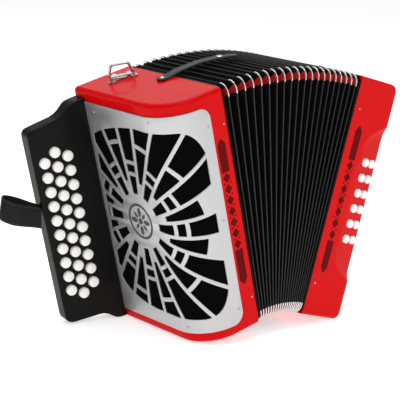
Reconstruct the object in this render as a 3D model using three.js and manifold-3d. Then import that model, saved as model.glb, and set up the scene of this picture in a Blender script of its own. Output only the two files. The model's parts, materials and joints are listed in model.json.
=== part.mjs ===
// Three-row diatonic button accordion, standing open like a fan on its two lower outer edges.
// Millimetres, +Z up. The player's side is +Y, so the fronts face -Y; treble at -X, bass at +X.
// Each casing has its own frame: x = 0 is its bellows face, y = 0 its middle, z = 0 its underside.
import * as THREE from "three";
import { mergeVertices } from "three/addons/utils/BufferGeometryUtils.js";
import Module from "manifold-3d";

const wasm = await Module();
wasm.setup();

// ---- Driving dimensions ----
const HEIGHT = 310;
const DEPTH = 185;
const TREBLE_THICKNESS = 84;
const BASS_THICKNESS = 68;
const BELLOWS_FOOT = 72; // between the casings' inner lower corners
const HALF_FAN = THREE.MathUtils.degToRad(15); // lean of each casing
const PLEATS = 20;
const WALL = 5;
const GAP = 0.3; // between pieces that touch on the real instrument

// Treble casing and its wrapped grille
const CORNER_RADIUS = 48;
const BACK_RADIUS = 6;
const TREBLE_EDGE = 5; // fillet round the top and the underside
const GRILLE_BACK_Y = 66;
const GRILLE_FRONT_X = -23;
const GRILLE_LOW = 12;
const GRILLE_HIGH = 295;
const GRILLE_CORNER = 15;
const GRILLE_TAIL = 3; // the sheet runs this far behind its own origin, up to the keyboard
const GRILLE_SHEET = 1.6;
const HUB = new THREE.Vector2(70.5, 152); // centre of the sunburst, along the sheet and up
const SLOT_STEP = Math.PI / 12;

// Keyboard slab: u runs outward from the casing, n out of its front, z up
const KEYBOARD_Y = 69.5;
const KEYBOARD_TURN = THREE.MathUtils.degToRad(9);
const KEYBOARD_WIDTH = 83;
const KEYBOARD_SHEET = 21;
const KEYBOARD_WALL = 3;
const KEY_ROW_U = [37.1, 52.75, 68.4];
const KEY_TOP_Z = 235.9;
const KEY_PITCH = 19.02;
const KEY_RADIUS = 6.8;
const KEY_SIDES = 10;
const THUMB_Z = 167; // middle of the thumb strap where it leaves the keyboard
const THUMB_BAND = 27;
const THUMB_SHEET = 2;
const THUMB_RISE = 0.56;
const THUMB_TWIST = 0.3;
const THUMB_LEAN = THREE.MathUtils.degToRad(21);

// Bass casing
const BASS_ROUND = 10; // upper and lower outer corners
const BASS_EDGE = 4; // fillet round the front and the back
const BASS_FRONT_WALL = 14; // carries the button mechanism
const SCOOP_X = 30; // the finger scoop starts here and is deepest at the outer edge
const SCOOP_DEPTH = 7;
const SCOOP_Z = [82, 224]; // where its swept ends start, at SCOOP_X
const SCOOP_SPREAD = 34; // how much further each end reaches at the outer edge
const SCOOP_EASE = 18; // length over which an end runs out to the front
const BASS_BUTTON_X = [44.5, 58.5];
const BASS_BUTTON_TOP_Z = 205;
const BASS_BUTTON_PITCH = 20.1;
const BASS_BUTTON_ROWS = 6;
const BASS_BUTTON_RADIUS = 5.6;
const AIR_BUTTON_PLACE = [-66, 252]; // y, z on the bass end
const AIR_BUTTON_RADIUS = 6.5;
const SOUND_SLOTS_Z = [60, 110, 160, 210, 260];
const HAND_STRAP_Z = [22, 48, 262, 288]; // lower end, foot and head of its bow, upper end
const HAND_STRAP_BOW = 48.75;

// Closing strap, press stud, shoulder-strap ring
const STRAP_LIFT = 4.6; // above the bellows' peaks
const STRAP_SHEET = 2.4;
const STRAP_WIDTH = 14;
const STRAP_START = -21;
const STRAP_RIVET = -9;
const STRAP_REACH = THREE.MathUtils.degToRad(13);
const STUD_X = 14;
const RING_TURN = THREE.MathUtils.degToRad(-30);
const RING_HEIGHT = 4; // hinge line above the plate's underside
const RING_WIRE = 1.8;
const RING_HALF = 13.5;
const RING_TOP = 14.5;
const BRACKET_SHEET = 1.6;

// Bellows
const FRAME_SHEET = 3; // wooden frame at each end of the bellows
const PLEAT_DEPTH = 16;
const BELLOWS_WALL = 4;
const BELLOWS_CORNER = 12;
const SWELL = THREE.MathUtils.degToRad(1.8); // the pleats by the bass end stand closer together

// ---- Frames ----
const fanRadius = BELLOWS_FOOT / 2 / Math.sin(HALF_FAN);

// Turn of the whole fan that brings both lower outer edges down to one floor.
function standingTurn() {
  const foot = (thickness, round, side) =>
    new THREE.Vector2(side * (thickness - round), fanRadius + round).rotateAround(
      new THREE.Vector2(),
      -side * HALF_FAN,
    );
  const treble = foot(TREBLE_THICKNESS, TREBLE_EDGE, -1);
  const bass = foot(BASS_THICKNESS, BASS_ROUND, 1);
  const span = bass.clone().sub(treble);
  return Math.asin((TREBLE_EDGE - BASS_ROUND) / span.length()) + Math.atan2(span.y, span.x);
}

const accordion = new THREE.Group();
const fan = new THREE.Group();
fan.rotation.y = standingTurn();
accordion.add(fan);

function casingFrame(name, angle) {
  const lean = new THREE.Group();
  lean.rotation.y = angle;
  const frame = new THREE.Group();
  frame.name = name;
  frame.position.z = fanRadius;
  lean.add(frame);
  fan.add(lean);
  return frame;
}

const trebleFrame = casingFrame("treble_frame", -HALF_FAN);
const bassFrame = casingFrame("bass_frame", HALF_FAN);

// Keyboard frame: -x = outward, y = into the slab from its front, z = up.
const keyboardFrame = new THREE.Group();
keyboardFrame.name = "keyboard_frame";
keyboardFrame.position.set(-TREBLE_THICKNESS, KEYBOARD_Y, 0);
keyboardFrame.rotation.z = -KEYBOARD_TURN;
trebleFrame.add(keyboardFrame);

// ---- Materials ----
function finish(color, roughness, metalness) {
  return new THREE.MeshStandardMaterial({ color, roughness, metalness });
}

const redLacquer = finish("#d01216", 0.18, 0);
const blackLacquer = finish("#1a1a1a", 0.4, 0);
const brushedSilver = finish("#b9b9b9", 0.35, 0.9);
const chrome = finish("#d0d0d0", 0.12, 1);
const leather = finish("#1c1b1b", 0.6, 0);
const bellowsCard = finish("#161616", 0.7, 0);
const blackCloth = finish("#0b0b0b", 0.95, 0);
const whitePlastic = finish("#f4f1ea", 0.25, 0);
const spruce = finish("#c9a36b", 0.6, 0);

// ---- Solids ----
// A closed geometry as a solid that can be cut and joined.
function solid(geometry) {
  const bare = geometry.index ? geometry.toNonIndexed() : geometry.clone();
  bare.deleteAttribute("normal");
  bare.deleteAttribute("uv");
  const merged = mergeVertices(bare, 1e-4);
  return new wasm.Manifold(
    new wasm.Mesh({
      numProp: 3,
      vertProperties: merged.attributes.position.array,
      triVerts: new Uint32Array(merged.index.array),
    }),
  );
}

function geometryOf(manifold) {
  const mesh = manifold.getMesh();
  const geometry = new THREE.BufferGeometry();
  geometry.setAttribute("position", new THREE.BufferAttribute(mesh.vertProperties, 3));
  geometry.setIndex(new THREE.BufferAttribute(mesh.triVerts, 1));
  return geometry;
}

function cut(body, ...tools) {
  return tools.reduce((rest, tool) => rest.subtract(solid(tool)), body);
}

function piece(name, geometry, material, frame) {
  const flat = geometry.index ? geometry.toNonIndexed() : geometry;
  flat.computeVertexNormals();
  const mesh = new THREE.Mesh(flat, material);
  mesh.name = name;
  frame.add(mesh);
  return mesh;
}

// A shape drawn in x and y, raised along z from `low` to `high`.
function raised(shape, low, high, curveSegments = 10) {
  const options = { depth: high - low, bevelEnabled: false, curveSegments };
  return new THREE.ExtrudeGeometry(shape, options).translate(0, 0, low);
}

// The same with a round edge of radius `edge` at both ends, inside the outline.
function raisedRound(shape, low, high, edge, curveSegments = 10) {
  return new THREE.ExtrudeGeometry(shape, {
    depth: high - low - 2 * edge,
    bevelThickness: edge,
    bevelSize: edge,
    bevelOffset: -edge,
    bevelSegments: 3,
    curveSegments,
  }).translate(0, 0, low + edge);
}

// Turns a solid raised from an x-z drawing so that its height runs along +Y.
function standUp(geometry) {
  return geometry.rotateX(Math.PI / 2).scale(1, -1, 1);
}

// Scaling by -1 turns the faces round, so they are turned back.
function faceOut(geometry) {
  const flat = geometry.index ? geometry.toNonIndexed() : geometry;
  const corners = flat.attributes.position;
  for (let i = 0; i < corners.count; i += 3) {
    const a = new THREE.Vector3().fromBufferAttribute(corners, i + 1);
    const b = new THREE.Vector3().fromBufferAttribute(corners, i + 2);
    corners.setXYZ(i + 1, ...b);
    corners.setXYZ(i + 2, ...a);
  }
  return flat;
}

// A drawing in x and z raised along y from `low` to `high`, with a round edge if `edge` is given.
function alongY(shape, low, high, edge = 0, curveSegments = 10) {
  const upright = edge
    ? raisedRound(shape, low, high, edge, curveSegments)
    : raised(shape, low, high, curveSegments);
  return faceOut(standUp(upright));
}

function box(x0, x1, y0, y1, z0, z1) {
  const block = new THREE.BoxGeometry(x1 - x0, y1 - y0, z1 - z0);
  return block.translate((x0 + x1) / 2, (y0 + y1) / 2, (z0 + z1) / 2);
}

function roundedRectangle(x0, x1, y0, y1, radius) {
  const shape = new THREE.Shape();
  const quarter = Math.PI / 2;
  shape.absarc(x1 - radius, y0 + radius, radius, -quarter, 0);
  shape.absarc(x1 - radius, y1 - radius, radius, 0, quarter);
  shape.absarc(x0 + radius, y1 - radius, radius, quarter, 2 * quarter);
  shape.absarc(x0 + radius, y0 + radius, radius, 2 * quarter, 3 * quarter);
  return shape;
}

function polygon(points) {
  return new THREE.Shape(points.map(([x, y]) => new THREE.Vector2(x, y)));
}

// ---- Treble casing ----
const EXCESS = 20; // how far a cut or an untrimmed end runs past a face

// Plan of the casing, drawn `inset` inside its outer face and open towards the bellows.
function treblePlan(inset) {
  const left = -TREBLE_THICKNESS + inset;
  const back = DEPTH / 2 - inset;
  const backRadius = Math.max(BACK_RADIUS - inset, 1);
  const plan = new THREE.Shape();
  plan.moveTo(EXCESS, -DEPTH / 2 + inset);
  plan.lineTo(-TREBLE_THICKNESS + CORNER_RADIUS, -DEPTH / 2 + inset);
  plan.absarc(
    -TREBLE_THICKNESS + CORNER_RADIUS,
    -DEPTH / 2 + CORNER_RADIUS,
    CORNER_RADIUS - inset,
    -Math.PI / 2,
    -Math.PI,
    true,
  );
  plan.absarc(left + backRadius, back - backRadius, backRadius, Math.PI, Math.PI / 2, true);
  plan.lineTo(EXCESS, back);
  return plan;
}

function trebleCasing() {
  const bellowsSide = box(0, 2 * EXCESS, -DEPTH, DEPTH, -EXCESS, HEIGHT + EXCESS);
  const cavity = raised(treblePlan(WALL), WALL, HEIGHT - WALL);
  const windowPlan = polygon([
    [-TREBLE_THICKNESS - EXCESS, GRILLE_BACK_Y - 8],
    [-TREBLE_THICKNESS - EXCESS, -DEPTH / 2 - EXCESS],
    [GRILLE_FRONT_X - 8, -DEPTH / 2 - EXCESS],
    [GRILLE_FRONT_X - 8, -80],
    [-45, -80],
    [-70, -50],
    [-70, GRILLE_BACK_Y - 8],
  ]);
  const grilleWindow = raised(windowPlan, GRILLE_LOW + 8, GRILLE_HIGH - 8);
  const leverSlot = box(-TREBLE_THICKNESS - 2, -70, KEYBOARD_Y + 4, KEYBOARD_Y + 16, 25, 285);
  const shell = solid(raisedRound(treblePlan(0), 0, HEIGHT, TREBLE_EDGE));
  return geometryOf(cut(shell, bellowsSide, cavity, grilleWindow, leverSlot));
}

piece("treble_casing", trebleCasing(), redLacquer, trebleFrame);

// ---- Sheets wrapped round the casing's corner ----
const endLength = GRILLE_BACK_Y + DEPTH / 2 - CORNER_RADIUS; // flat stretch on the casing's end
const arcLength = (CORNER_RADIUS * Math.PI) / 2;
const grilleLength = endLength + arcLength + GRILLE_FRONT_X + TREBLE_THICKNESS - CORNER_RADIUS;
const BEND_STEPS = 8;

// Takes a point of a flat sheet (x along it, y up, z through it) to its place on the casing.
function wrapped(point) {
  const { x: along, y: up, z: out } = point;
  const centreX = -TREBLE_THICKNESS + CORNER_RADIUS;
  const centreY = -DEPTH / 2 + CORNER_RADIUS;
  if (along <= endLength) return [-TREBLE_THICKNESS - out, GRILLE_BACK_Y - along, up];
  const turn = (along - endLength) / CORNER_RADIUS;
  if (turn >= Math.PI / 2) return [centreX + along - endLength - arcLength, -DEPTH / 2 - out, up];
  const reach = CORNER_RADIUS + out;
  return [centreX - reach * Math.cos(turn), centreY - reach * Math.sin(turn), up];
}

// The part of a polygon on one side of the plane x = place.
function clipped(corners, place, side) {
  const kept = [];
  corners.forEach((corner, i) => {
    const next = corners[(i + 1) % corners.length];
    const here = side * (corner.x - place);
    const there = side * (next.x - place);
    if (here >= 0) kept.push(corner);
    if (here * there < 0) {
      const [low, high] = corner.x < next.x ? [corner, next] : [next, corner];
      kept.push(low.clone().lerp(high, (place - low.x) / (high.x - low.x)));
    }
  });
  return kept;
}

// Slices a flat sheet across its bend and wraps it round the casing's corner.
function wrap(geometry) {
  const flat = geometry.index ? geometry.toNonIndexed() : geometry;
  const corners = flat.attributes.position;
  let faces = [];
  for (let i = 0; i < corners.count; i += 3) {
    faces.push([0, 1, 2].map((k) => new THREE.Vector3().fromBufferAttribute(corners, i + k)));
  }
  for (let step = 0; step <= BEND_STEPS; step++) {
    const place = endLength + (arcLength * step) / BEND_STEPS;
    faces = faces.flatMap((face) => [clipped(face, place, 1), clipped(face, place, -1)]);
    faces = faces.flatMap((face) =>
      face.slice(2).map((corner, i) => [face[0], face[i + 1], corner]),
    );
  }
  const places = faces.flat().flatMap(wrapped);
  const bent = new THREE.BufferGeometry();
  bent.setAttribute("position", new THREE.Float32BufferAttribute(places, 3));
  return geometryOf(solid(bent));
}

// One opening of the sunburst: between two radii along a ray, wider with distance from the hub.
function rayOpening(angle, inner, outer, halfWidth) {
  const corners = [
    [inner, -halfWidth(inner)],
    [outer, -halfWidth(outer)],
    [outer, halfWidth(outer)],
    [inner, halfWidth(inner)],
  ];
  const cos = Math.cos(angle);
  const sin = Math.sin(angle);
  return polygon(corners.map(([r, w]) => [HUB.x + r * cos - w * sin, HUB.y + r * sin + w * cos]));
}

// The field that the sunburst fills: square towards the front, drawn in towards the back.
function sunburstField() {
  const field = new THREE.Shape();
  field.moveTo(150, 32.5);
  field.quadraticCurveTo(176, 33, 184, 66);
  field.lineTo(184, 240);
  field.quadraticCurveTo(174, 274, 150, 274);
  field.lineTo(90, 276);
  field.quadraticCurveTo(30, 270, 3, 254);
  field.lineTo(3, 66);
  field.quadraticCurveTo(10, 38, 70, 33);
  return field;
}

const FAR = 175;

function sunburst() {
  const wideRay = (r) => 0.775 + 0.1035 * r;
  const narrowRay = (r) => 0.158 * r - 5.4;
  const openings = [];
  for (let ray = 0; ray < 24; ray++) {
    const angle = ray * SLOT_STEP;
    const wide = ray % 2 === 0;
    const besideMiddle = ray === 1 || ray === 23;
    const ends = wide ? [36, 59.5, 64.5, 74.5, 79.5, FAR] : [53, 99.5, 105, FAR];
    if (besideMiddle) ends.splice(2);
    for (let i = 0; i < ends.length; i += 2) {
      openings.push(rayOpening(angle, ends[i], ends[i + 1], wide ? wideRay : narrowRay));
    }
  }
  const prisms = openings.map((shape) => solid(raised(shape, -4, 6)));
  return wasm.Manifold.union(prisms).intersect(solid(raised(sunburstField(), -5, 7, 6)));
}

function trebleGrille() {
  const outline = roundedRectangle(-GRILLE_TAIL, grilleLength, GRILLE_LOW, GRILLE_HIGH, GRILLE_CORNER);
  const sheet = solid(raised(outline, GAP, GAP + GRILLE_SHEET, 4));
  return wrap(geometryOf(sheet.subtract(sunburst())));
}

function grilleCloth() {
  const rim = 10;
  const [low, high] = [GRILLE_LOW + rim, GRILLE_HIGH - rim];
  const ends = [[rim, low], [grilleLength - rim, low], [grilleLength - rim, high], [rim, high]];
  return wrap(raised(polygon(ends), -1.6, -0.8));
}

piece("treble_grille", trebleGrille(), brushedSilver, trebleFrame);
piece("grille_cloth", grilleCloth(), blackCloth, trebleFrame);

// ---- Keyboard ----
// Outline of the slab from the casing outward; ogee shoulders carry it down from the casing.
function keyboardOutline(inset) {
  const outer = KEYBOARD_WIDTH - inset;
  const outline = new THREE.Shape();
  outline.moveTo(-6, 2 + inset);
  outline.lineTo(9, 3 + inset);
  outline.bezierCurveTo(20, 4 + inset, 22, 17 + inset, 38, 17.5 + inset);
  outline.lineTo(70, 20 + inset);
  outline.quadraticCurveTo(outer, 21 + inset, outer, 32);
  outline.lineTo(outer, 271);
  outline.quadraticCurveTo(outer, 279.5 - inset, 74, 280.5 - inset);
  outline.lineTo(44, 284 - inset);
  outline.bezierCurveTo(26, 287 - inset, 28, 298 - inset, 14, 298.5 - inset);
  outline.lineTo(-6, 300 - inset);
  return outline;
}

function keyPlaces() {
  const places = [];
  KEY_ROW_U.forEach((u, row) => {
    const count = row === 1 ? 11 : 10;
    const top = row === 1 ? KEY_TOP_Z + KEY_PITCH / 2 : KEY_TOP_Z;
    for (let i = 0; i < count; i++) places.push({ row, i, u, z: top - KEY_PITCH * i });
  });
  return places;
}

// The keyboard frame looks along -x for "outward", so drawings in u are mirrored into it.
function outward(geometry) {
  return faceOut(geometry.scale(-1, 1, 1));
}

function keyHole(place) {
  const hole = new THREE.CylinderGeometry(KEY_RADIUS + 0.9, KEY_RADIUS + 0.9, 12, KEY_SIDES);
  return hole.translate(-place.u, 0, place.z);
}

function keyboardHousing() {
  const slab = solid(outward(alongY(keyboardOutline(0), 0, KEYBOARD_SHEET, 2, 6)));
  const back = KEYBOARD_SHEET - KEYBOARD_WALL;
  const inside = alongY(keyboardOutline(KEYBOARD_WALL), KEYBOARD_WALL, back, 0, 4);
  const holes = keyPlaces().map(keyHole);
  const casingEnd = box(-GAP, 30, -DEPTH, DEPTH, -10, HEIGHT + 10).rotateZ(KEYBOARD_TURN);
  return geometryOf(cut(slab, outward(inside), casingEnd, ...holes));
}

piece("keyboard_housing", keyboardHousing(), blackLacquer, keyboardFrame);

// A turned part whose profile gives radius and height above the surface it sits in.
function turned(profile, sides) {
  return new THREE.LatheGeometry(
    profile.map(([r, h]) => new THREE.Vector2(r, h)),
    sides,
  );
}

// Domed key with a stop flange behind the keyboard's front wall; it faces -Y.
function keyShape() {
  const profile = [
    [0, -7],
    [KEY_RADIUS + 1.2, -7],
    [KEY_RADIUS + 1.2, -4.2],
    [KEY_RADIUS, -4.2],
    [KEY_RADIUS, 3.6],
    [KEY_RADIUS - 2, 4.9],
    [0, 5.3],
  ];
  return turned(profile, KEY_SIDES).rotateX(Math.PI);
}

const twoDigits = (number) => String(number).padStart(2, "0");

for (const place of keyPlaces()) {
  const name = `treble_key_row${place.row + 1}_${twoDigits(place.i + 1)}`;
  piece(name, keyShape(), whitePlastic, keyboardFrame).position.set(-place.u, 0, place.z);
}

// Leather loop for the thumb: it leaves the keyboard's outer side closed, rises outward and opens
// into a loop. Its band leans, and the far layer of the loop stands higher than the near one.
function thumbStrap() {
  const side = KEYBOARD_WIDTH + GAP;
  const path = [
    [side + 0.2, 4],
    [94, 3],
    [108, 0],
    [121, -1],
    [130.5, 4.5],
    [131.5, 12.5],
    [124, 19],
    [110, 18.5],
    [96, 12.5],
    [side + 0.2, 10.5],
  ].map(([u, n]) => new THREE.Vector3(u, n, 0));
  const points = new THREE.CatmullRomCurve3(path).getPoints(27);
  const turns = points.map((point, i) => {
    const ahead = points[Math.min(i + 1, points.length - 1)];
    const behind = points[Math.max(i - 1, 0)];
    const along = ahead.clone().sub(behind).normalize().multiplyScalar(THUMB_SHEET);
    const inner = new THREE.Vector2(point.x - along.y, point.y + along.x);
    return { outer: new THREE.Vector2(point.x, point.y), inner };
  });
  const outline = [...turns.map((t) => t.outer), ...turns.map((t) => t.inner).reverse()];
  const strap = raised(new THREE.Shape(outline), -THUMB_BAND / 2, THUMB_BAND / 2);
  const corners = strap.attributes.position;
  for (let i = 0; i < corners.count; i++) {
    const [u, n, across] = [corners.getX(i), corners.getY(i), corners.getZ(i)];
    const middle = THUMB_Z + THUMB_RISE * (u - side) + THUMB_TWIST * (n - 4);
    corners.setX(i, Math.max(u - across * Math.sin(THUMB_LEAN), side));
    corners.setZ(i, middle + across * Math.cos(THUMB_LEAN));
  }
  return outward(strap);
}

piece("thumb_strap", thumbStrap(), leather, keyboardFrame);

// ---- Reed boards: the wall between casing and bellows, with the reed blocks standing on it ----
function reedBoard(side, blocks) {
  const margin = WALL + GAP;
  const front = side < 0 ? -DEPTH / 2 + margin : -DEPTH / 2 + BASS_FRONT_WALL + GAP;
  const high = HEIGHT - margin - 1;
  const board = solid(box(-3, 3, front, DEPTH / 2 - margin - 1, margin + 1, high));
  const joined = blocks.reduce((body, [y, low, top]) => {
    const block = box(2.5, 34, y - 11, y + 11, low, top);
    return body.add(solid(side < 0 ? block : block.translate(-36.5, 0, 0)));
  }, board);
  return geometryOf(joined).translate(side * 6, 0, 0);
}

const trebleBlocks = [-38, 0, 38].map((y) => [y, 40, 270]);
const bassBlocks = [-20, 30].map((y) => [y, 50, 250]);
piece("treble_reed_board", reedBoard(-1, trebleBlocks), spruce, trebleFrame);
piece("bass_reed_board", reedBoard(1, bassBlocks), spruce, bassFrame);

// ---- Bellows ----
function bellowsFrame(side) {
  const rim = PLEAT_DEPTH + BELLOWS_WALL + 2;
  const half = DEPTH / 2;
  const outline = roundedRectangle(-half, half, 0, HEIGHT, BELLOWS_CORNER);
  const opening = roundedRectangle(-half + rim, half - rim, rim, HEIGHT - rim, 4);
  outline.holes.push(opening);
  const sheet = raised(outline, 0, FRAME_SHEET, 3);
  sheet.rotateX(Math.PI / 2).rotateZ(Math.PI / 2);
  return sheet.translate(side > 0 ? GAP : -GAP - FRAME_SHEET, 0, 0);
}

piece("treble_bellows_frame", bellowsFrame(1), bellowsCard, trebleFrame);
piece("bass_bellows_frame", bellowsFrame(-1), bellowsCard, bassFrame);

// The end faces of the bellows lie this far inside the casings' faces, so they meet higher up.
const bellowsEnd = 2 * GAP + FRAME_SHEET;
const bellowsRadius = fanRadius - bellowsEnd / Math.tan(HALF_FAN);
const bellowsCentre = bellowsEnd / Math.sin(HALF_FAN);

// One ring round the bellows at a fraction `part` of the way from treble to bass.
function bellowsRing(part, inset) {
  const half = DEPTH / 2 - inset;
  const low = bellowsRadius + inset;
  const high = bellowsRadius + HEIGHT - inset;
  const outline = roundedRectangle(low, high, -half, half, Math.max(BELLOWS_CORNER - inset, 2));
  const angle = HALF_FAN * (2 * part - 1) + SWELL * Math.sin(Math.PI * part);
  return outline.getPoints(1).slice(0, 12).map((point) => {
    const out = new THREE.Vector3(Math.sin(angle), 0, Math.cos(angle)).multiplyScalar(point.x);
    return out.add(new THREE.Vector3(0, point.y, bellowsCentre));
  });
}

// A tube skinned over rings: the outer skin, then the inner skin back to the start.
function bellows() {
  const steps = 2 * PLEATS;
  const ringAt = (step, inner) => {
    const valley = step % 2 === 0 ? PLEAT_DEPTH : 0;
    return bellowsRing(step / steps, valley + (inner ? BELLOWS_WALL : 0));
  };
  const rings = [];
  for (let step = 0; step <= steps; step++) rings.push(ringAt(step, false));
  for (let step = steps; step >= 0; step--) rings.push(ringAt(step, true));
  const corners = [];
  rings.forEach((ring, i) => {
    const next = rings[(i + 1) % rings.length];
    ring.forEach((a, j) => {
      const b = ring[(j + 1) % ring.length];
      const c = next[(j + 1) % ring.length];
      const d = next[j];
      for (const corner of [a, b, c, a, c, d]) corners.push(...corner);
    });
  });
  const geometry = new THREE.BufferGeometry();
  geometry.setAttribute("position", new THREE.Float32BufferAttribute(corners, 3));
  return faceOut(geometry);
}

piece("bellows", bellows(), bellowsCard, fan);

// ---- Bass casing ----
const scoopTurn = Math.atan2(SCOOP_DEPTH, BASS_THICKNESS - SCOOP_X);

function bassProfile(inset) {
  const radius = Math.max(BASS_ROUND - inset, 2);
  const profile = new THREE.Shape();
  profile.moveTo(-EXCESS, inset);
  profile.lineTo(BASS_THICKNESS - inset - radius, inset);
  profile.absarc(BASS_THICKNESS - inset - radius, inset + radius, radius, -Math.PI / 2, 0);
  profile.absarc(BASS_THICKNESS - inset - radius, HEIGHT - inset - radius, radius, 0, Math.PI / 2);
  profile.lineTo(-EXCESS, HEIGHT - inset);
  return profile;
}

// A closed body between two grids of points, `place(i, j, side)` with side 0 or 1.
function between(columns, rows, place) {
  const corners = [];
  const quad = (a, b, c, d) => [a, b, c, a, c, d].forEach((point) => corners.push(...point));
  const at = (i, j, side) => place(i, j, side).toArray();
  for (let i = 0; i < columns; i++) {
    for (let j = 0; j < rows; j++) {
      quad(at(i, j, 0), at(i + 1, j, 0), at(i + 1, j + 1, 0), at(i, j + 1, 0));
      quad(at(i, j, 1), at(i, j + 1, 1), at(i + 1, j + 1, 1), at(i + 1, j, 1));
    }
    quad(at(i, 0, 1), at(i + 1, 0, 1), at(i + 1, 0, 0), at(i, 0, 0));
    quad(at(i, rows, 0), at(i + 1, rows, 0), at(i + 1, rows, 1), at(i, rows, 1));
  }
  for (let j = 0; j < rows; j++) {
    quad(at(0, j, 0), at(0, j + 1, 0), at(0, j + 1, 1), at(0, j, 1));
    quad(at(columns, j, 1), at(columns, j + 1, 1), at(columns, j + 1, 0), at(columns, j, 0));
  }
  const geometry = new THREE.BufferGeometry();
  geometry.setAttribute("position", new THREE.Float32BufferAttribute(corners, 3));
  return geometry;
}

// The finger scoop: a slope towards the outer edge that runs out to the front above and below.
function fingerScoop() {
  const [low, high] = SCOOP_Z;
  const width = BASS_THICKNESS - SCOOP_X;
  const columns = 8;
  const easeSteps = 5;
  const rows = 2 * easeSteps + 1;
  const front = -DEPTH / 2;
  const place = (i, j, side) => {
    const reach = (1.05 * i) / columns;
    const spread = SCOOP_SPREAD * Math.sqrt(reach);
    const part = Math.min(j, rows - j) / easeSteps;
    const run = SCOOP_EASE * part;
    const z = j > easeSteps ? high + spread - run : low - spread + run;
    const depth = SCOOP_DEPTH * reach * part * (2 - part) - 0.02;
    return new THREE.Vector3(SCOOP_X + width * reach, side ? front + depth : front - 3, z);
  };
  return solid(between(columns, rows, place));
}

// Places a turned part on the scoop's slope: its axis leans outward with the slope.
function onScoop(geometry, x, z) {
  const reach = x - SCOOP_X;
  return geometry
    .rotateX(Math.PI)
    .rotateZ(scoopTurn)
    .translate(x, -DEPTH / 2 + reach * Math.tan(scoopTurn), z);
}

function bassButtonPlaces() {
  const places = [];
  BASS_BUTTON_X.forEach((x, row) => {
    for (let i = 0; i < BASS_BUTTON_ROWS; i++) {
      places.push({ row, i, x, z: BASS_BUTTON_TOP_Z - BASS_BUTTON_PITCH * i });
    }
  });
  return places;
}

function bassCasing() {
  const half = DEPTH / 2;
  const bellowsSide = box(-2 * EXCESS, 0, -DEPTH, DEPTH, -EXCESS, HEIGHT + EXCESS);
  const cavity = alongY(bassProfile(WALL), -half + BASS_FRONT_WALL, half - WALL, 0, 3);
  const holes = bassButtonPlaces().map(({ x, z }) => {
    const radius = BASS_BUTTON_RADIUS + 0.8;
    return onScoop(new THREE.CylinderGeometry(radius, radius, 44, KEY_SIDES), x, z);
  });
  const [airY, airZ] = AIR_BUTTON_PLACE;
  const airRadius = AIR_BUTTON_RADIUS + 0.9;
  const airHole = new THREE.CylinderGeometry(airRadius, airRadius, 20, 12);
  airHole.rotateZ(Math.PI / 2).translate(BASS_THICKNESS, airY, airZ);
  const soundSlots = SOUND_SLOTS_Z.map((z) =>
    box(BASS_THICKNESS - 2 * WALL, BASS_THICKNESS + 2, 52, 76, z - 14, z + 14),
  );
  const outer = solid(alongY(bassProfile(0), -half, half, BASS_EDGE, 5));
  const scooped = outer.subtract(fingerScoop());
  return geometryOf(cut(scooped, bellowsSide, cavity, airHole, ...soundSlots, ...holes));
}

piece("bass_casing", bassCasing(), redLacquer, bassFrame);

for (const place of bassButtonPlaces()) {
  const profile = [
    [0, -13],
    [BASS_BUTTON_RADIUS, -13],
    [BASS_BUTTON_RADIUS, 2.4],
    [BASS_BUTTON_RADIUS - 1.6, 3.4],
    [0, 3.7],
  ];
  const name = `bass_button_row${place.row + 1}_${twoDigits(place.i + 1)}`;
  piece(name, onScoop(turned(profile, KEY_SIDES), place.x, place.z), whitePlastic, bassFrame);
}

function airButton() {
  const profile = [
    [0, -12],
    [AIR_BUTTON_RADIUS, -12],
    [AIR_BUTTON_RADIUS, 6],
    [4.6, 7.4],
    [0, 7.8],
  ];
  const [y, z] = AIR_BUTTON_PLACE;
  return turned(profile, 12).rotateZ(-Math.PI / 2).translate(BASS_THICKNESS, y, z);
}

piece("air_button", airButton(), whitePlastic, bassFrame);

// Broad leather strap for the left hand, bowed away from the bass end.
function bassHandStrap() {
  const face = BASS_THICKNESS + GAP;
  const sheet = 3;
  const [low, foot, head, high] = HAND_STRAP_Z;
  const outer = face + HAND_STRAP_BOW;
  const strap = new THREE.Shape();
  strap.moveTo(face, low);
  strap.lineTo(face + sheet, low);
  strap.lineTo(face + sheet, foot - 3);
  strap.bezierCurveTo(outer, foot + 40, outer, head - 40, face + sheet, head + 3);
  strap.lineTo(face + sheet, high);
  strap.lineTo(face, high);
  strap.lineTo(face, head);
  strap.bezierCurveTo(outer - 4, head - 42, outer - 4, foot + 42, face, foot);
  return alongY(strap, -18, 40, 0, 12);
}

piece("bass_hand_strap", bassHandStrap(), leather, bassFrame);

// ---- Top fittings ----
// Closing strap: riveted to the treble's top, it lies over the bellows when they are open. Its
// underside is cut away behind the rivet, so the strap can tip as it rises.
function bellowsStrap() {
  const skive = 1.2;
  const foot = HEIGHT + GAP;
  const radius = fanRadius + HEIGHT + STRAP_LIFT;
  const profile = new THREE.Shape();
  const arcPoint = (angle, r) => [r * Math.sin(angle), r * Math.cos(angle) - fanRadius];
  const outer = radius + STRAP_SHEET;
  profile.moveTo(STRAP_START, foot + skive);
  profile.lineTo(STRAP_RIVET, foot);
  profile.lineTo(STRAP_RIVET + 4, foot);
  const steps = 10;
  const along = Array.from({ length: steps }, (_, i) => (STRAP_REACH * (i + 1)) / steps);
  profile.lineTo(...arcPoint(0.008, radius));
  for (const angle of along) profile.lineTo(...arcPoint(angle, radius));
  for (const angle of along.reverse()) profile.lineTo(...arcPoint(angle, outer));
  profile.lineTo(...arcPoint(0.004, outer));
  profile.lineTo(STRAP_RIVET + 2, foot + STRAP_SHEET);
  profile.lineTo(STRAP_START, foot + STRAP_SHEET);
  return alongY(profile, -STRAP_WIDTH / 2, STRAP_WIDTH / 2);
}

piece("bellows_strap", bellowsStrap(), leather, trebleFrame);

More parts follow.
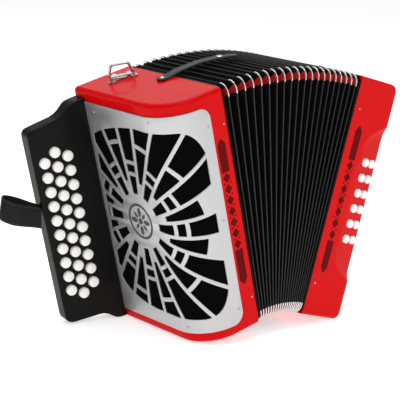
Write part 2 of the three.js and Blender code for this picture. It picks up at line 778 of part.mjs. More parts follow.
// Press stud on the bass's top that the closing strap snaps on to.
function strapStud() {
  const profile = [
    [0, GAP],
    [7, GAP],
    [7, 1.5],
    [3, 2],
    [3, 2.8],
    [0, 3],
  ];
  return turned(profile, 12).rotateX(Math.PI / 2).translate(STUD_X, 0, HEIGHT);
}

piece("bass_strap_stud", strapStud(), chrome, bassFrame);

// Shoulder-strap bracket: a three-lobed plate with two knuckles that hold a wire ring.
const ringFrame = new THREE.Group();
ringFrame.name = "ring_frame";
ringFrame.position.set(-34.5, 55.5, HEIGHT + GAP);
ringFrame.rotation.z = RING_TURN;
trebleFrame.add(ringFrame);

function strapBracket() {
  const lobe = (x, y, radius) => {
    const disc = new THREE.CylinderGeometry(radius, radius, BRACKET_SHEET, 16);
    return disc.rotateX(Math.PI / 2).translate(x, y, BRACKET_SHEET / 2);
  };
  const web = polygon([[-15.5, -12.5], [-8.5, 5], [14.5, 5], [17.5, -1], [2.5, -3.5]]);
  const knuckle = (x) => {
    const drum = new THREE.CylinderGeometry(3.6, 3.6, 5, 12);
    return drum.rotateZ(Math.PI / 2).translate(x, 0, RING_HEIGHT);
  };
  const parts = [lobe(-13, -11, 4.8), lobe(-7.5, 3, 5.5), lobe(15, 1.3, 5), knuckle(-9), knuckle(9)];
  const plate = solid(raised(web, 0, BRACKET_SHEET));
  const body = parts.reduce((sum, part) => sum.add(solid(part)), plate);
  const bore = new THREE.CylinderGeometry(RING_WIRE + 0.6, RING_WIRE + 0.6, 60, 12);
  bore.rotateZ(Math.PI / 2).translate(0, 0, RING_HEIGHT);
  return geometryOf(cut(body, bore));
}

piece("strap_bracket", strapBracket(), chrome, ringFrame);

// D-shaped wire ring standing on the knuckles' line.
function strapRing() {
  const top = RING_TOP;
  const path = new THREE.CurvePath();
  const corner = 5;
  const at = (x, z) => new THREE.Vector3(x, 0, RING_HEIGHT + z);
  const line = (a, b) => path.add(new THREE.LineCurve3(a, b));
  const bend = (a, b, c) => path.add(new THREE.QuadraticBezierCurve3(a, b, c));
  const shoulder = RING_HALF - 3;
  line(at(0, 0), at(RING_HALF - 1, 0));
  bend(at(RING_HALF - 1, 0), at(RING_HALF + 1.6, 0), at(RING_HALF + 1, 3));
  line(at(RING_HALF + 1, 3), at(shoulder + 1, top - corner));
  bend(at(shoulder + 1, top - corner), at(shoulder, top), at(shoulder - corner, top));
  line(at(shoulder - corner, top), at(corner - shoulder, top));
  bend(at(corner - shoulder, top), at(-shoulder, top), at(-shoulder - 1, top - corner));
  line(at(-shoulder - 1, top - corner), at(-RING_HALF - 1, 3));
  bend(at(-RING_HALF - 1, 3), at(-RING_HALF - 1.6, 0), at(1 - RING_HALF, 0));
  line(at(1 - RING_HALF, 0), at(0, 0));
  const points = path.getPoints(4);
  const unique = points.filter((p, i) => i === 0 || p.distanceTo(points[i - 1]) > 0.05);
  if (unique[0].distanceTo(unique[unique.length - 1]) < 0.05) unique.pop();
  return wireLoop(unique, RING_WIRE, 8);
}

// A closed wire in the x-z plane: a round section carried round a closed line of points.
function wireLoop(points, radius, sides) {
  const rings = points.map((point, i) => {
    const ahead = points[(i + 1) % points.length];
    const behind = points[(i - 1 + points.length) % points.length];
    const along = ahead.clone().sub(behind).normalize();
    const across = new THREE.Vector3(-along.z, 0, along.x);
    return Array.from({ length: sides }, (_, k) => {
      const angle = (2 * Math.PI * k) / sides;
      const offset = across.clone().multiplyScalar(radius * Math.cos(angle));
      offset.y = radius * Math.sin(angle);
      return point.clone().add(offset);
    });
  });
  const corners = [];
  rings.forEach((ring, i) => {
    const next = rings[(i + 1) % rings.length];
    ring.forEach((a, k) => {
      const b = ring[(k + 1) % sides];
      for (const corner of [a, b, next[(k + 1) % sides], a, next[(k + 1) % sides], next[k]]) {
        corners.push(...corner);
      }
    });
  });
  const geometry = new THREE.BufferGeometry();
  geometry.setAttribute("position", new THREE.Float32BufferAttribute(corners, 3));
  return solid(geometry).volume() < 0 ? faceOut(geometry) : geometry;
}

piece("strap_ring", strapRing(), chrome, ringFrame);

// ---- Origin: the middle of the underside of the whole instrument's box ----
const extent = new THREE.Box3().setFromObject(accordion, true);
const middle = extent.getCenter(new THREE.Vector3());
fan.position.set(-middle.x, -middle.y, -extent.min.z);

export default accordion;
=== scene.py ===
"""Three-row button accordion, open like a fan: every visible surface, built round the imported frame.

Lengths are in millimetres in a casing's own frame (x = 0 its bellows face, z = 0 its underside) and
go to metres in the row frame through that frame's matrix.
"""
import json
import math
import random

import bmesh
import bpy
from mathutils import Matrix, Vector


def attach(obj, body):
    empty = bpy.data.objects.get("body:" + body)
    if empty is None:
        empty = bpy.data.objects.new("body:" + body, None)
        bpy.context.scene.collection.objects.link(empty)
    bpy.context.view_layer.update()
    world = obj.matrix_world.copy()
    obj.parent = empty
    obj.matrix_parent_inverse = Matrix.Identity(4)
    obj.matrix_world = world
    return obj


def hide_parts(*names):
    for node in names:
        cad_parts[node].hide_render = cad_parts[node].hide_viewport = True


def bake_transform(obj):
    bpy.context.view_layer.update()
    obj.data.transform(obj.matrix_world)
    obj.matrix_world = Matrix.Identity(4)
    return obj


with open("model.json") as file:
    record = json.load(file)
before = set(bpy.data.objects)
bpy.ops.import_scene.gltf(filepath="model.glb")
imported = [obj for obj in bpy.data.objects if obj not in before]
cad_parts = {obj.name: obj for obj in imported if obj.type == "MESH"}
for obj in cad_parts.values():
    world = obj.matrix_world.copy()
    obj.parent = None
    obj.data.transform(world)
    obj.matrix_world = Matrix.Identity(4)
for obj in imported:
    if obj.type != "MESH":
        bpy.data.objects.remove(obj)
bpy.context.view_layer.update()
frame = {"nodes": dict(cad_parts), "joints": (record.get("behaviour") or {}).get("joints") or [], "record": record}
RNG = random.Random(7)

# ---- Driving sizes (mm, degrees) ----
HEIGHT = 310.0
HALF_DEPTH = 92.5
TREBLE_THICKNESS = 84.0
BASS_THICKNESS = 68.0
FOOT = 36.0  # half the bellows' width at the foot
HALF_FAN = math.radians(15)
FAN_RADIUS = FOOT / math.sin(HALF_FAN)
FOLDS = 20
CORNER = 48.0  # round front corner of the treble casing
GAP = 0.3  # between pieces that touch
KEYBOARD_TURN = math.radians(9)
KEYBOARD_Y = 69.5
KEYBOARD_WIDTH = 83.0
KEY_PITCH = 19.02
KEY_TOP = 235.9
KEY_ROWS = (37.1, 52.75, 68.4)
KEY_RADIUS = 6.8
BASS_BUTTON_ROWS = (44.5, 58.5)
BASS_BUTTONS_IN_ROW = 6
BASS_BUTTON_TOP = 205.0
BASS_BUTTON_PITCH = 20.1
BASS_BUTTON_RADIUS = 5.6
SCOOP_X = 30.0  # the bass casing's finger scoop starts here and deepens outwards
SCOOP_DEPTH = 7.0
SCOOP_TURN = math.atan2(SCOOP_DEPTH, BASS_THICKNESS - SCOOP_X)
AIR_BUTTON = (BASS_THICKNESS, -66.0, 252.0)
STRAP_LIFT = 4.6  # the closing strap's height over the peaks
STRAP_SHEET = 2.4
STRAP_WIDTH = 14.0
STRAP_START = -21.0
STRAP_REACH = math.radians(13)
STRAP_RIVET = -14.5
SNAP_ANGLE = math.radians(9.65)  # where the strap's snap cap sits on the fan
STUD_X = 14.0
THUMB_Z = 167.0  # middle of the thumb strap where it leaves the keyboard
THUMB_BAND = 27.0
THUMB_SHEET = 2.0
THUMB_RISE = 0.56
THUMB_TWIST = 0.3
THUMB_LEAN = math.radians(21)
HAND_STRAP_Z = (48.0, 262.0)  # the bowed stretch, between the strap's two flat ends
HAND_STRAP_MIDDLE_Y = 11.0
HAND_STRAP_WIDTH = 56.0
HAND_STRAP_BOW = 34.95
RING_PLACE = (-34.5, 55.5)
RING_TURN = math.radians(-30)
RING_WIRE = 1.8
RING_HALF = 13.5
RING_TOP = 14.5
RING_HINGE = 4.0  # the wire's axis over the casing


# ---- Frames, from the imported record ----
def joint(name):
    return next(j for j in frame["joints"] if j["name"] == name)


def mount(name):
    return next(m for m in frame["record"]["mounts"] if m["name"] == name)


def axes(origin, x, y, z):
    """Matrix that takes millimetres along x, y, z from origin to metres in the row frame."""
    turn = Matrix((x, y, z)).transposed().to_4x4()
    return Matrix.Translation(origin) @ turn @ Matrix.Scale(0.001, 4)


def turned_about_z(base, x, y, angle, z=0.0):
    return base @ Matrix.Translation((x, y, z)) @ Matrix.Rotation(angle, 4, "Z")


def metres(length):
    return length * 0.001


PIVOT = Vector(joint("bellows_fan")["pos_m"])
Y_AXIS = Vector((0, 1, 0))
TREBLE_UP = -Vector(mount("treble_underside")["axis"])
BASS_UP = -Vector(mount("bass_underside")["axis"])
FAN_UP = (TREBLE_UP + BASS_UP).normalized()
FAN_OUT = Y_AXIS.cross(FAN_UP)
TREBLE = axes(PIVOT - FAN_OUT * metres(FOOT), Y_AXIS.cross(TREBLE_UP), Y_AXIS, TREBLE_UP)
BASS = axes(PIVOT + FAN_OUT * metres(FOOT), Y_AXIS.cross(BASS_UP), Y_AXIS, BASS_UP)
FAN = axes(PIVOT - FAN_UP * metres(FAN_RADIUS * math.cos(HALF_FAN)), FAN_OUT, Y_AXIS, FAN_UP)
KEYBOARD = turned_about_z(TREBLE, -TREBLE_THICKNESS, KEYBOARD_Y, -KEYBOARD_TURN)
RING = turned_about_z(TREBLE, *RING_PLACE, RING_TURN, HEIGHT + GAP)


# ---- Materials ----
class Finish:
    """A node material built step by step round one Principled shader."""

    def __init__(self, name, color, roughness, metallic=0.0, **sockets):
        self.material = bpy.data.materials.new(name)
        self.material.use_nodes = True
        self.tree = self.material.node_tree
        self.shader = self.tree.nodes["Principled BSDF"]
        self.set("Base Color", (*color, 1))
        self.set("Roughness", roughness)
        self.set("Metallic", metallic)
        for key, value in sockets.items():
            self.set(key.replace("_", " "), value)
        self.normal = None

    def set(self, socket, value):
        self.shader.inputs[socket].default_value = value

    def node(self, kind, **inputs):
        made = self.tree.nodes.new(kind)
        for key, value in inputs.items():
            made.inputs[key.replace("_", " ")].default_value = value
        return made

    def link(self, a, b):
        self.tree.links.new(a, b)

    def coordinates(self, stretch=(1, 1, 1)):
        place = self.node("ShaderNodeTexCoord")
        scale = self.node("ShaderNodeMapping")
        scale.inputs["Scale"].default_value = stretch
        self.link(place.outputs["Object"], scale.inputs["Vector"])
        return scale.outputs["Vector"]

    def noise(self, scale, detail=2.0, stretch=(1, 1, 1), roughness=0.5):
        made = self.node("ShaderNodeTexNoise", Scale=scale, Detail=detail, Roughness=roughness)
        self.link(self.coordinates(stretch), made.inputs["Vector"])
        return made.outputs["Fac"]

    def cells(self, scale):
        made = self.node("ShaderNodeTexVoronoi", Scale=scale)
        self.link(self.coordinates(), made.inputs["Vector"])
        return made.outputs["Distance"]

    def spread(self, value, low, high, out_low, out_high):
        made = self.node("ShaderNodeMapRange")
        self.link(value, made.inputs["Value"])
        for key, number in zip(("From Min", "From Max", "To Min", "To Max"), (low, high, out_low, out_high)):
            made.inputs[key].default_value = number
        return made.outputs["Result"]

    def tint(self, value, color_a, color_b):
        made = self.node("ShaderNodeMix")
        made.data_type = "RGBA"
        made.inputs["A"].default_value = (*color_a, 1)
        made.inputs["B"].default_value = (*color_b, 1)
        self.link(value, made.inputs["Factor"])
        self.link(made.outputs["Result"], self.shader.inputs["Base Color"])
        return self

    def rough(self, value):
        self.link(value, self.shader.inputs["Roughness"])
        return self

    def bump(self, value, strength, distance):
        made = self.node("ShaderNodeBump", Strength=strength, Distance=distance)
        self.link(value, made.inputs["Height"])
        if self.normal:
            self.link(self.normal, made.inputs["Normal"])
        self.normal = made.outputs["Normal"]
        self.link(self.normal, self.shader.inputs["Normal"])
        return self


def red_lacquer():
    f = Finish("red_lacquer", (0.67, 0.0008, 0.0016), 0.3, Specular_IOR_Level=0.03)
    f.set("Coat Weight", 0.12)
    f.set("Coat Roughness", 0.07)
    f.tint(f.noise(9, 3), (0.66, 0.0006, 0.0014), (0.68, 0.0010, 0.0020))
    f.rough(f.spread(f.noise(60, 4), 0.3, 0.7, 0.29, 0.35))
    return f.bump(f.noise(300, 1), 0.03, 0.0002).material


def black_lacquer():
    f = Finish("black_lacquer", (0.004, 0.004, 0.004), 0.34, Specular_IOR_Level=0.07)
    f.set("Coat Weight", 0.06)
    f.set("Coat Roughness", 0.15)
    f.tint(f.noise(30, 4), (0.0030, 0.0030, 0.0030), (0.0052, 0.0050, 0.0048))
    f.rough(f.spread(f.noise(160, 5), 0.3, 0.7, 0.30, 0.42))
    return f.bump(f.noise(900, 2), 0.12, 0.0002).material


def brushed_silver():
    f = Finish("brushed_silver", (0.57, 0.57, 0.57), 0.44, 0.8)
    hair = f.noise(240, 4, (1, 1, 0.02), 0.7)
    f.tint(hair, (0.51, 0.51, 0.515), (0.62, 0.62, 0.62))
    f.rough(f.spread(hair, 0.3, 0.7, 0.38, 0.5))
    return f.bump(f.noise(900, 3, (1, 1, 0.03)), 0.06, 0.0001).material


def chrome():
    f = Finish("chrome", (0.50, 0.50, 0.51), 0.16, 1.0)
    f.rough(f.spread(f.noise(300, 4), 0.35, 0.7, 0.14, 0.26))
    return f.bump(f.noise(700, 2), 0.03, 0.0001).material


def guard_steel():
    f = Finish("guard_steel", (0.78, 0.76, 0.73), 0.22, 0.9)
    f.rough(f.spread(f.noise(500, 3), 0.3, 0.7, 0.16, 0.3))
    return f.bump(f.noise(800, 2), 0.06, 0.0001).material


def leather(name="black_leather", base=0.006, grain=900, shine=0.2):
    f = Finish(name, (base,) * 3, 0.5, Specular_IOR_Level=shine)
    f.tint(f.noise(70, 5), (base * 0.75,) * 3, (base * 1.5,) * 3)
    f.rough(f.spread(f.noise(240, 4), 0.3, 0.7, 0.42, 0.6))
    f.bump(f.cells(grain), 0.35, 0.0003)
    return f.bump(f.noise(120, 4), 0.2, 0.0004).material


def bellows_card():
    f = Finish("bellows_card", (0.003, 0.003, 0.003), 0.5, Specular_IOR_Level=0.07)
    weave = f.noise(1400, 2)
    f.tint(f.noise(40, 4), (0.0020, 0.0020, 0.0020), (0.0042, 0.0042, 0.0043))
    f.rough(f.spread(f.noise(90, 4), 0.3, 0.7, 0.48, 0.64))
    return f.bump(weave, 0.25, 0.0002).material


def tape_with_painted_highlight():
    # Tape along the fold edges, partly its own colour and partly a painted highlight: it is lightened well past
    # the card's black so that each peak reads as a thin light line.
    f = Finish("tape_with_painted_highlight", (0.026, 0.026, 0.027), 0.36, Specular_IOR_Level=0.45)
    f.tint(f.noise(120, 4), (0.019, 0.019, 0.020), (0.034, 0.034, 0.035))
    return f.bump(f.noise(900, 3), 0.25, 0.0002).material


def red_gusset():
    f = Finish("red_gusset", (0.40, 0.005, 0.009), 0.5, Specular_IOR_Level=0.2)
    f.tint(f.noise(90, 4), (0.34, 0.004, 0.007), (0.46, 0.007, 0.012))
    return f.bump(f.cells(900), 0.3, 0.0003).material


def ornament_red():
    f = Finish("ornament_red", (0.13, 0.0008, 0.001), 0.3, Specular_IOR_Level=0.05)
    f.tint(f.noise(200, 3), (0.11, 0.0006, 0.0009), (0.15, 0.0010, 0.0014))
    return f.bump(f.noise(420, 1), 0.05, 0.0003).material


def white_plastic():
    f = Finish("white_plastic", (0.97, 0.965, 0.955), 0.2, Coat_Weight=0.3, Coat_Roughness=0.06)
    f.tint(f.noise(60, 3), (0.96, 0.955, 0.945), (0.985, 0.98, 0.97))
    f.rough(f.spread(f.noise(400, 3), 0.3, 0.7, 0.13, 0.22))
    return f.bump(f.noise(150, 2), 0.03, 0.0003).material


def grille_cloth():
    f = Finish("grille_cloth", (0.002, 0.002, 0.002), 0.95, Specular_IOR_Level=0.02)
    f.tint(f.cells(1500), (0.001, 0.001, 0.001), (0.004, 0.004, 0.004))
    return f.bump(f.cells(1500), 0.5, 0.0003).material


def dark_enamel():
    f = Finish("dark_enamel", (0.045, 0.045, 0.047), 0.4)
    f.tint(f.noise(300, 3), (0.035, 0.035, 0.037), (0.06, 0.06, 0.062))
    return f.bump(f.noise(600, 2), 0.08, 0.0002).material


def reed_wood():
    f = Finish("reed_wood", (0.52, 0.33, 0.16), 0.55)
    grain = f.noise(60, 6, (1, 8, 0.3), 0.6)
    f.tint(grain, (0.40, 0.24, 0.11), (0.62, 0.42, 0.22))
    return f.bump(grain, 0.2, 0.0003).material


def stained_wood():
    f = Finish("stained_wood", (0.004, 0.004, 0.004), 0.5, Specular_IOR_Level=0.08)
    grain = f.noise(80, 5, (1, 1, 0.1), 0.6)
    f.tint(grain, (0.0025, 0.0024, 0.0022), (0.006, 0.0056, 0.0052))
    return f.bump(grain, 0.25, 0.0003).material


def thread():
    f = Finish("thread", (0.05, 0.05, 0.05), 0.7)
    f.tint(f.noise(900, 3), (0.035, 0.035, 0.035), (0.08, 0.08, 0.08))
    return f.bump(f.noise(2500, 2), 0.5, 0.0002).material


RED = red_lacquer()
BLACK = black_lacquer()
SILVER = brushed_silver()
CHROME = chrome()
GUARD = guard_steel()
LEATHER = leather()
STRAP_LEATHER = leather("closing_strap_hide", 0.007, 700, 0.55)
CARD = bellows_card()
TAPE_WITH_PAINTED_HIGHLIGHT = tape_with_painted_highlight()
GUSSET = red_gusset()
ORNAMENT = ornament_red()
WHITE = white_plastic()
CLOTH = grille_cloth()
ENAMEL = dark_enamel()
WOOD = reed_wood()
STAINED = stained_wood()
THREAD = thread()


# ---- Mesh helpers ----
def from_bmesh(name, bm, base, materials, sharp=35.0):
    """Turns a mesh in base's millimetres into a smooth object with its sharp edges kept."""
    bmesh.ops.recalc_face_normals(bm, faces=bm.faces)
    bm.transform(base)
    mesh = bpy.data.meshes.new(name)
    bm.to_mesh(mesh)
    bm.free()
    for material in materials:
        mesh.materials.append(material)
    mesh.polygons.foreach_set("use_smooth", [True] * len(mesh.polygons))
    mesh.set_sharp_from_angle(angle=math.radians(sharp))
    mesh.update()
    made = bpy.data.objects.new(name, mesh)
    bpy.context.scene.collection.objects.link(made)
    return made


def ring_skin(bm, rings, closed_rings=False, caps=False, material=None):
    """Skins a list of rings of vertices, each closed on itself."""
    count = len(rings)
    for i in range(count if closed_rings else count - 1):
        ring, following = rings[i], rings[(i + 1) % count]
        for j in range(len(ring)):
            k = (j + 1) % len(ring)
            face = bm.faces.new((ring[j], ring[k], following[k], following[j]))
            if material:
                face.material_index = material(i, j)
    if caps:
        bm.faces.new(rings[0])
        bm.faces.new(rings[-1])


def circle(radius, steps):
    turn = [2 * math.pi * i / steps for i in range(steps)]
    return [(radius * math.cos(t), radius * math.sin(t)) for t in turn]


def revolve(bm, profile, steps, base=Matrix.Identity(4)):
    """Turns (radius, height) points round +Z; points of radius 0 close the ends."""
    rings = []
    for radius, height in profile:
        if radius == 0:
            rings.append([bm.verts.new(base @ Vector((0, 0, height)))])
            continue
        ring = [base @ Vector((x, y, height)) for x, y in circle(radius, steps)]
        rings.append([bm.verts.new(place) for place in ring])
    for ring, following in zip(rings, rings[1:]):
        for j in range(steps):
            k = (j + 1) % steps
            if len(ring) == 1:
                bm.faces.new((ring[0], following[j], following[k]))
            elif len(following) == 1:
                bm.faces.new((ring[j], ring[k], following[0]))
            else:
                bm.faces.new((ring[j], ring[k], following[k], following[j]))


def dome(radius, low, rim, top, steps=6):
    """Profile of a button: straight side up to `rim`, then a crown up to `top`."""
    turn = [math.pi / 2 * i / steps for i in range(steps)]
    crown = [(radius * math.cos(t) ** 0.55, rim + (top - rim) * math.sin(t)) for t in turn]
    return [(0, low), (radius, low), *crown, (0, top)]


def sweep(bm, section, stations, closed=False):
    """Carries a closed section of (across, up) points along stations of (place, across, up) axes."""
    rings = [
        [bm.verts.new(place + across * a + up * b) for a, b in section]
        for place, across, up in stations
    ]
    ring_skin(bm, rings, closed_rings=closed, caps=not closed)


def rounded_rectangle(x0, x1, y0, y1, radius, steps=8):
    points = []
    for cx, cy, start in (
        (x1 - radius, y0 + radius, -90),
        (x1 - radius, y1 - radius, 0),
        (x0 + radius, y1 - radius, 90),
        (x0 + radius, y0 + radius, 180),
    ):
        for i in range(steps + 1):
            t = math.radians(start + 90 * i / steps)
            points.append((cx + radius * math.cos(t), cy + radius * math.sin(t)))
    return points


def strap_section(width, thickness, radius):
    """Rounded rectangle in (across, up), with its middle at the origin."""
    return rounded_rectangle(-width / 2, width / 2, -thickness / 2, thickness / 2, radius, 3)


def smooth_line(points, steps):
    """Catmull-Rom line through the points, evenly numbered."""
    ends = [points[0] * 2 - points[1], *points, points[-1] * 2 - points[-2]]
    line = []
    for i in range(len(points) - 1):
        p0, p1, p2, p3 = ends[i : i + 4]
        for k in range(steps):
            t = k / steps
            bend = (2 * p0 - 5 * p1 + 4 * p2 - p3) * t * t + (3 * p1 - p0 - 3 * p2 + p3) * t**3
            line.append(0.5 * (2 * p1 + (p2 - p0) * t + bend))
    line.append(points[-1].copy())
    return line


def directions(line, closed=False):
    """The way the line runs at each of its points."""
    last = len(line) - 1
    if closed:
        steps = [line[(i + 1) % (last + 1)] - line[i - 1] for i in range(last + 1)]
    else:
        steps = [line[min(i + 1, last)] - line[max(i - 1, 0)] for i in range(last + 1)]
    return [step.normalized() for step in steps]


def ride(obj, body, slot, *nodes):
    """Fixes a piece to a body and hides the CAD nodes that it stands for; slot is not used."""
    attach(obj, body)
    if nodes:
        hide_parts(*nodes)


# ---- Flat sheets, cut and wrapped ----
def flat_sheet(outline, holes, thickness, round_edge):
    """Mesh of a flat sheet in x and y with holes; its middle is at z = 0."""
    curve = bpy.data.curves.new("sheet", "CURVE")
    curve.dimensions = "2D"
    curve.fill_mode = "BOTH"
    for loop in (outline, *holes):
        spline = curve.splines.new("POLY")
        spline.points.add(len(loop) - 1)
        for point, (x, y) in zip(spline.points, loop):
            point.co = (x, y, 0, 1)
        spline.use_cyclic_u = True
    curve.extrude = thickness / 2 - round_edge
    curve.bevel_depth = round_edge
    curve.bevel_resolution = 1
    curve.offset = -round_edge
    holder = bpy.data.objects.new("sheet", curve)
    bpy.context.scene.collection.objects.link(holder)
    bpy.context.view_layer.update()
    mesh = bpy.data.meshes.new_from_object(holder)
    bm = bmesh.new()
    bm.from_mesh(mesh)
    bpy.data.objects.remove(holder)
    bpy.data.curves.remove(curve)
    bpy.data.meshes.remove(mesh)
    bmesh.ops.remove_doubles(bm, verts=bm.verts, dist=0.002)
    return bm


SHEET_BACK_Y = 66.0
END_LENGTH = SHEET_BACK_Y + HALF_DEPTH - CORNER
ARC_LENGTH = CORNER * math.pi / 2


def wrapped(along, up, out):
    """Where a point of a sheet lies once it is wrapped round the treble casing's front corner."""
    centre_x, centre_y = CORNER - TREBLE_THICKNESS, CORNER - HALF_DEPTH
    if along <= END_LENGTH:
        return Vector((-TREBLE_THICKNESS - out, SHEET_BACK_Y - along, up))
    turn = (along - END_LENGTH) / CORNER
    if turn >= math.pi / 2:
        return Vector((centre_x + along - END_LENGTH - ARC_LENGTH, -HALF_DEPTH - out, up))
    reach = CORNER + out
    return Vector((centre_x - reach * math.cos(turn), centre_y - reach * math.sin(turn), up))


def wrap(bm, lift, steps=24):
    for i in range(steps + 1):
        cut = Vector((END_LENGTH + ARC_LENGTH * i / steps, 0, 0))
        parts = [*bm.verts, *bm.edges, *bm.faces]
        bmesh.ops.bisect_plane(bm, geom=parts, plane_co=cut, plane_no=(1, 0, 0), dist=1e-4)
    for vert in bm.verts:
        vert.co = wrapped(vert.co.x, vert.co.y, vert.co.z + lift)
    return bm


# ---- Sunburst grille ----
HUB = (70.5, 152.0)
GRILLE_TAIL = 3.2
GRILLE_LENGTH = END_LENGTH + ARC_LENGTH + TREBLE_THICKNESS - CORNER - 23
GRILLE_LOW = 14.0
GRILLE_HIGH = 295.0
GRILLE_CORNER = 15.0
RAYS = 24
FAR = 175.0  # past every edge of the field
WIDE_RAY = [36, 59.5, 64.5, 74.5, 79.5, FAR]  # from and to, for each opening along it
NARROW_RAY = [53, 99.5, 105, FAR]
SMALLEST_OPENING = 8.0  # mm2


def curve_points(a, b, c, steps=8):
    """Points of a quadratic curve from a to c, without its last."""
    made = []
    for i in range(steps):
        t = i / steps
        made.append(tuple(a[k] * (1 - t) ** 2 + 2 * b[k] * t * (1 - t) + c[k] * t * t for k in (0, 1)))
    return made


def sunburst_field():
    """The convex outline that the sunburst fills, anticlockwise."""
    field = curve_points((150, 32.5), (176, 33), (184, 66))
    field.append((184, 66))
    field += curve_points((184, 240), (174, 274), (150, 274))
    field.append((150, 274))
    field += curve_points((90, 276), (30, 270), (3, 254))
    field.append((3, 254))
    field += curve_points((3, 66), (10, 38), (70, 33))
    field.append((70, 33))
    return field


def clip_to(polygon, field):
    """The part of a polygon inside the convex field."""
    for (ax, ay), (bx, by) in zip(field, field[1:] + field[:1]):

        def inside(p):
            return (bx - ax) * (p[1] - ay) - (by - ay) * (p[0] - ax)

        kept = []
        for p, q in zip(polygon, polygon[1:] + polygon[:1]):
            here, there = inside(p), inside(q)
            if here >= 0:
                kept.append(p)
            if here * there < 0:
                t = here / (here - there)
                kept.append((p[0] + (q[0] - p[0]) * t, p[1] + (q[1] - p[1]) * t))
        polygon = kept
        if len(polygon) < 3:
            return []
    return polygon


def area(polygon):
    pairs = zip(polygon, polygon[1:] + polygon[:1])
    return abs(sum(p[0] * q[1] - q[0] * p[1] for p, q in pairs)) / 2


def ray_opening(angle, inner, outer, half_width, bend=5):
    """An opening along a ray, its two ends curved round the hub."""
    corners = []
    for r, sign in ((outer, 1), (inner, -1)):
        w = -half_width(r)
        for i in range(bend + 1):
            across = sign * w * (1 - 2 * i / bend)
            corners.append((r + (w * w - across * across) / (2 * r), across))
    cos, sin = math.cos(angle), math.sin(angle)
    return [(HUB[0] + r * cos - w * sin, HUB[1] + r * sin + w * cos) for r, w in corners]


def wide_half(r):
    return 0.775 + 0.1035 * r


def narrow_half(r):
    return 0.158 * r - 5.4


def sunburst_openings():
    """Wide and narrow rays by turns; the two beside the ray to the front keep only their first opening."""
    field = sunburst_field()
    openings = []
    for ray in range(RAYS):
        ends, half_width = (WIDE_RAY, wide_half) if ray % 2 == 0 else (NARROW_RAY, narrow_half)
        if ray in (1, RAYS - 1):
            ends = ends[:2]
        for inner, outer in zip(ends[::2], ends[1::2]):
            opening = ray_opening(2 * math.pi * ray / RAYS, inner, outer, half_width)
            shape = clip_to(opening, field)
            if shape and area(shape) > SMALLEST_OPENING:
                openings.append(shape)
    return openings


def grille_outline(inset):
    """Round front corners; the back edge runs straight into the keyboard."""
    low, high, back = GRILLE_LOW + inset, GRILLE_HIGH - inset, inset - GRILLE_TAIL
    front = rounded_rectangle(-GRILLE_TAIL, GRILLE_LENGTH - inset, low, high, GRILLE_CORNER - inset)
    return [point for point in front if point[0] > GRILLE_CORNER] + [(back, high), (back, low)]


def make_grille():
    sheet = wrap(flat_sheet(grille_outline(0), sunburst_openings(), 1.6, 0.25), 1.1)
    grille = from_bmesh("sunburst_grille", sheet, TREBLE, [SILVER], 30)
    ride(grille, "treble", "brushed_silver", "treble_grille")
    backing = wrap(flat_sheet(grille_outline(1), [], 0.2, 0.05), 0.15)
    cloth = from_bmesh("sound_cloth", backing, TREBLE, [CLOTH], 30)
    ride(cloth, "treble", "black_cloth", "grille_cloth")


SHEET_FACE = 1.9  # the grille's outer surface over the casing


def on_grille(along, up):
    """Frame on the wrapped sheet's surface: +Z stands out of it, x runs along it and y up."""
    place = wrapped(along, up, SHEET_FACE)
    normal = (wrapped(along, up, SHEET_FACE + 1) - place).normalized()
    up_axis = Vector((0, 0, 1))
    turn = Matrix((up_axis.cross(normal), up_axis, normal)).transposed().to_4x4()
    return TREBLE @ Matrix.Translation(place) @ turn


def petal_loop(reach, half):
    turn = [2 * math.pi * i / 12 for i in range(12)]
    return [(5.6 + reach / 2 * (1 - math.cos(t)), half * math.sin(t)) for t in turn]


def make_emblem():
    """Generic rosette in a ring, in the middle of the sunburst."""
    ring = [(20, -0.3), (20, 0.12), (20.3, 0.25), (23.2, 0.25), (23.5, 0.12), (23.5, -0.3), (20, -0.3)]
    heart = [(0, -0.3), (4.2, -0.3), (4.2, 0.2), (3.8, 0.3), (0, 0.3)]
    bm = bmesh.new()
    revolve(bm, ring, 64)
    bmesh.ops.remove_doubles(bm, verts=bm.verts, dist=0.01)
    for petal in range(8):
        turn = Matrix.Rotation(math.pi / 4 * petal, 4, "Z")
        loop = petal_loop(12.5, 3.3) if petal % 2 == 0 else petal_loop(9.5, 2.1)
        low = [bm.verts.new(turn @ Vector((x, y, -0.3))) for x, y in loop]
        high = [bm.verts.new(turn @ Vector((x, y, 0.22))) for x, y in loop]
        ring_skin(bm, [low, high], caps=True)
    revolve(bm, heart, 32)
    emblem = from_bmesh("grille_rosette", bm, on_grille(*HUB), [ENAMEL], 30)
    ride(emblem, "treble", "brushed_silver")


# ---- Screws and pins ----
def screw_head(radius):
    """A slotted, domed head on z = 0."""
    head = bmesh.new()
    crown = [(radius, 0.15), (radius * 0.86, 0.55), (radius * 0.5, 0.85), (0, 0.95)]
    revolve(head, [(0, -0.5), (radius, -0.5), *crown], 20)
    for vert in head.verts:
        if abs(vert.co.y) < radius * 0.2 and vert.co.z > 0.5:
            vert.co.z -= 0.4
    return head


def make_screws(name, places, radius, body, material=CHROME):
    """Screw heads at a list of frames whose +Z stands out of the surface, each turned its own way."""
    bm = bmesh.new()
    for base in places:
        head = screw_head(radius)
        head.transform(base @ Matrix.Rotation(RNG.uniform(0, math.pi), 4, "Z"))
        mesh = bpy.data.meshes.new("head")
        head.to_mesh(mesh)
        head.free()
        bm.from_mesh(mesh)
        bpy.data.meshes.remove(mesh)
    ride(from_bmesh(name, bm, Matrix.Identity(4), [material], 40), body, "chrome")


def facing(base, x, y, z, normal):
    """Frame at a point of a casing whose +Z is `normal`."""
    out = Vector(normal).normalized()
    side = Vector((0, 0, 1)).cross(out)
    side = side.normalized() if side.length > 0.1 else Vector((1, 0, 0))
    turn = Matrix((side, out.cross(side), out)).transposed().to_4x4()
    return base @ Matrix.Translation((x, y, z)) @ turn


